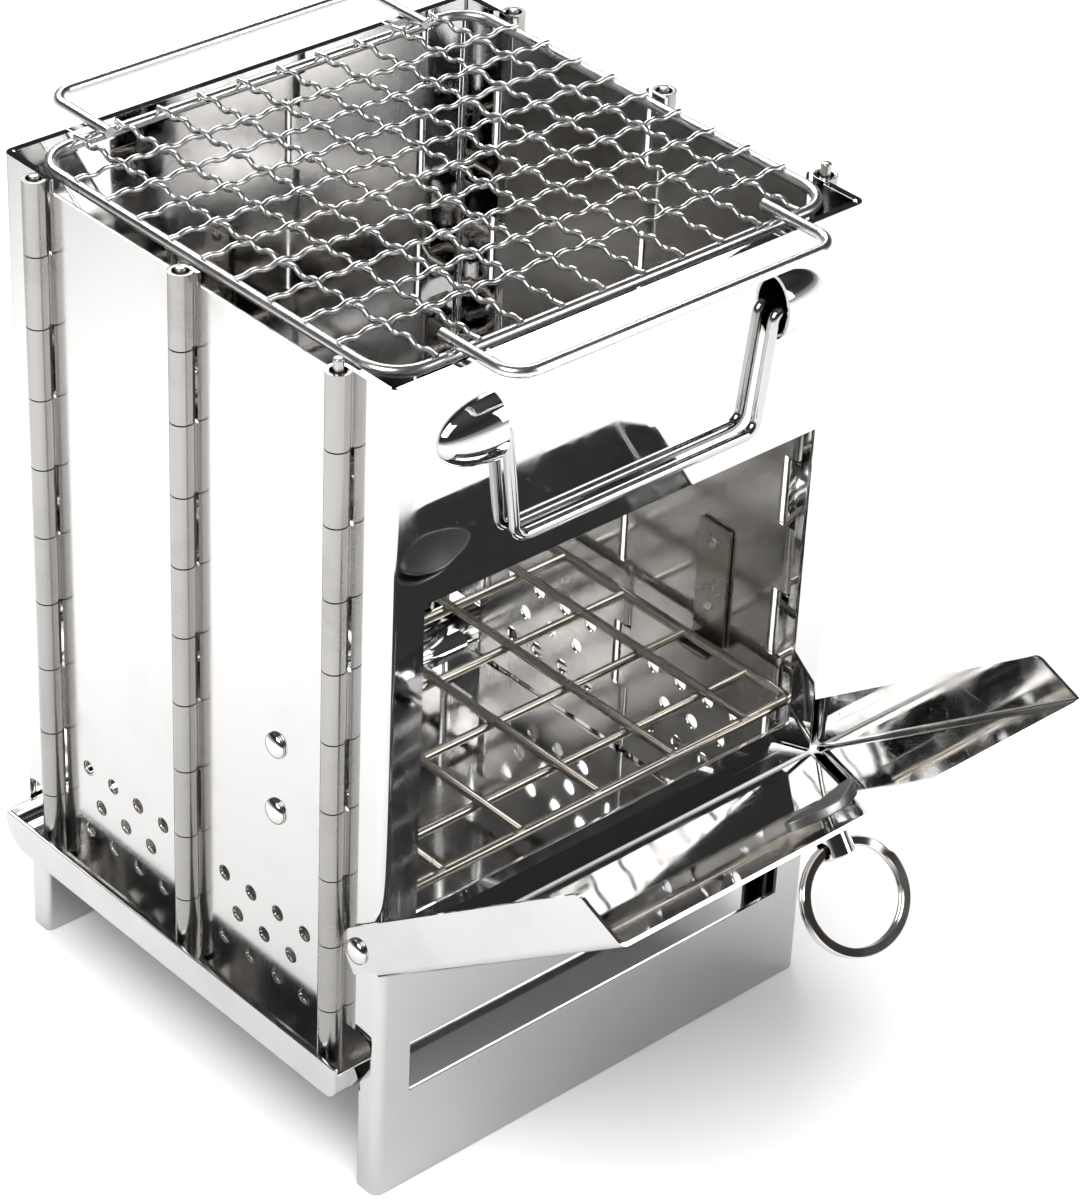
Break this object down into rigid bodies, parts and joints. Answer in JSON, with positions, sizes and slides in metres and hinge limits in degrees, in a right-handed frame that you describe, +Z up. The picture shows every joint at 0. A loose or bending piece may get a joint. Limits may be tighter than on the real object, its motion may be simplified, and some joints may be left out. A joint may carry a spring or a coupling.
{
  "type": "folding rocket stove",
  "caption": "Folding stainless wood stove: hinged sheet walls, feed door held open as a chute, ash tray, wire grate and lift-off woven wire grill.",
  "frame": {"origin": "on the floor under the middle of the stove's whole box, door open", "axes": "+X to the right seen from the front, +Y from the feed door to the back panel, +Z up"},
  "size_m": [0.158, 0.2442, 0.2285],
  "materials": {
    "polished_sheet": "mirror-polished stainless sheet",
    "wall_sheet": "polished stainless sheet with faint rolling marks",
    "tray_sheet": "polished stainless sheet",
    "rivet_steel": "polished rivet heads",
    "pin_steel": "drawn wire pins",
    "bracket_steel": "dull stainless sheet",
    "grill_wire": "bright drawn wire",
    "grate_wire": "drawn wire",
    "handle_wire": "polished wire",
    "latch_steel": "tumbled steel",
    "ring_steel": "nickel-plated spring wire"
  },
  "bodies": {
    "root": {"front_panel": "polished_sheet", "ash_tray": "tray_sheet", "left_front_pin": "pin_steel", "right_front_pin": "pin_steel", "left_door_rivet": "rivet_steel", "right_door_rivet": "rivet_steel"},
    "left_front_wall": {"left_front_leaf": "wall_sheet", "left_middle_pin": "pin_steel", "left_grate_bracket": "bracket_steel", "left_lower_leaf_rivet": "rivet_steel", "left_upper_leaf_rivet": "rivet_steel"},
    "left_rear_wall": {"left_rear_leaf": "wall_sheet"},
    "back": {"back_panel": "polished_sheet", "left_rear_pin": "pin_steel", "right_rear_pin": "pin_steel", "left_back_bracket": "bracket_steel", "right_back_bracket": "bracket_steel", "left_back_rivet": "rivet_steel", "right_back_rivet": "rivet_steel"},
    "right_front_wall": {"right_front_leaf": "wall_sheet", "right_middle_pin": "pin_steel", "right_grate_bracket": "bracket_steel", "right_lower_leaf_rivet": "rivet_steel", "right_upper_leaf_rivet": "rivet_steel"},
    "right_rear_wall": {"right_rear_leaf": "wall_sheet"},
    "door": {"door": "polished_sheet"},
    "latch": {"latch_cam": "latch_steel", "latch_stem": "latch_steel"},
    "ring": {"split_ring": "ring_steel"},
    "bail": {"bail_handle": "handle_wire"},
    "grill": {"grill": "grill_wire", "front_grill_handle": "grill_wire", "back_grill_handle": "grill_wire"},
    "grate": {"grate": "grate_wire"}
  },
  "joints": [
    {"name": "side_fold", "type": "hinge", "parent": "root", "child": "left_front_wall", "pos_m": [-0.0735, -0.01784, 0.1285], "axis": [0, 0, -1], "range_deg": [0, 2]},
    {"name": "left_middle_hinge", "type": "hinge", "parent": "left_front_wall", "child": "left_rear_wall", "pos_m": [-0.0735, 0.03716, 0.1285], "axis": [0, 0, -1], "range_deg": [-4, 0]},
    {"name": "left_rear_hinge", "type": "hinge", "parent": "left_rear_wall", "child": "back", "pos_m": [-0.0735, 0.09216, 0.1285], "axis": [0, 0, -1], "range_deg": [0, 2]},
    {"name": "right_front_hinge", "type": "hinge", "parent": "root", "child": "right_front_wall", "pos_m": [0.0735, -0.01784, 0.1285], "axis": [0, 0, -1], "range_deg": [-2, 0]},
    {"name": "right_middle_hinge", "type": "hinge", "parent": "right_front_wall", "child": "right_rear_wall", "pos_m": [0.0735, 0.03716, 0.1285], "axis": [0, 0, -1], "range_deg": [0, 4]},
    {"name": "door_swing", "type": "hinge", "parent": "root", "child": "door", "pos_m": [0, -0.02704, 0.0729], "axis": [-1, 0, 0], "range_deg": [0, 53.7]},
    {"name": "latch_turn", "type": "hinge", "parent": "door", "child": "latch", "pos_m": [0, -0.09877, 0.12559], "axis": [0, 0.592, 0.8059], "range_deg": [0, 90]},
    {"name": "ring_swing", "type": "hinge", "parent": "latch", "child": "ring", "pos_m": [0, -0.10605, 0.11568], "axis": [1, 0, 0], "range_deg": [-90, 90]},
    {"name": "handle_swing", "type": "hinge", "parent": "root", "child": "bail", "pos_m": [0, -0.03594, 0.207], "axis": [-1, 0, 0], "range_deg": [0, 130]},
    {"name": "grill_lift", "type": "slide", "parent": "root", "child": "grill", "axis": [0, 0, 1], "range_m": [0, 0.12]},
    {"name": "grate_lift", "type": "slide", "parent": "root", "child": "grate", "axis": [0, 0, 1], "range_m": [0, 0.12]}
  ],
  "couplings": [
    {"joint": "left_middle_hinge", "follows": "side_fold", "ratio": -2},
    {"joint": "left_rear_hinge", "follows": "side_fold", "ratio": 1},
    {"joint": "right_front_hinge", "follows": "side_fold", "ratio": -1},
    {"joint": "right_middle_hinge", "follows": "side_fold", "ratio": 2}
  ]
}
